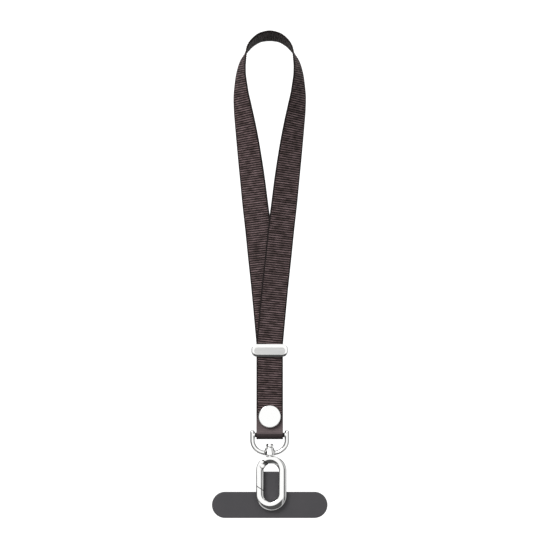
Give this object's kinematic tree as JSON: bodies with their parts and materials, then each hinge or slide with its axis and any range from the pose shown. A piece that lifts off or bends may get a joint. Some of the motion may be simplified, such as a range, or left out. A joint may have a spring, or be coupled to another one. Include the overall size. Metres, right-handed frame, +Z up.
{
  "type": "phone wrist strap",
  "caption": "Wrist strap for a phone: ribbed webbing loop with a sliding keeper, a rivet, a D-ring, a swivelling spring-gate clip and a flat tab that sits in the phone's case.",
  "frame": {"origin": "where the loop hangs: the middle of the webbing's underside at the loop's crest", "axes": "+Z up along the hanging strap, -Y out of its front, +X to the right seen from the front"},
  "size_m": [0.0656, 0.015, 0.2756],
  "materials": {
    "webbing": "dark brown-grey ribbed webbing",
    "bright_metal": "polished bright plating on zinc alloy",
    "soft_plastic": "matte dark grey"
  },
  "bodies": {
    "strap": {"strap": "webbing", "rivet_cap": "bright_metal", "rivet_back": "bright_metal"},
    "keeper": {"keeper": "bright_metal"},
    "d_ring": {"d_ring": "bright_metal"},
    "clip": {"clip_body": "bright_metal", "swivel_post": "bright_metal", "gate_pin": "bright_metal", "tether_tab": "soft_plastic", "tab_pin": "bright_metal"},
    "gate": {"gate": "bright_metal"}
  },
  "joints": [
    {"name": "keeper_slide", "type": "slide", "parent": "strap", "child": "keeper", "axis": [0, 0, 1], "range_m": [-0.0245, 0]},
    {"name": "d_ring_hinge", "type": "hinge", "parent": "strap", "child": "d_ring", "pos_m": [0, 0, -0.22535], "axis": [1, 0, 0], "range_deg": [-115, 115]},
    {"name": "swivel", "type": "hinge", "parent": "d_ring", "child": "clip", "pos_m": [0, 0, -0.23675], "axis": [0, 0, 1], "continuous": true},
    {"name": "gate_hinge", "type": "hinge", "parent": "clip", "child": "gate", "pos_m": [-0.00425, 0, -0.24275], "axis": [0, -1, 0], "range_deg": [0, 28], "stiffness_Nm_per_rad": 0.02, "springref_deg": -17.19}
  ]
}
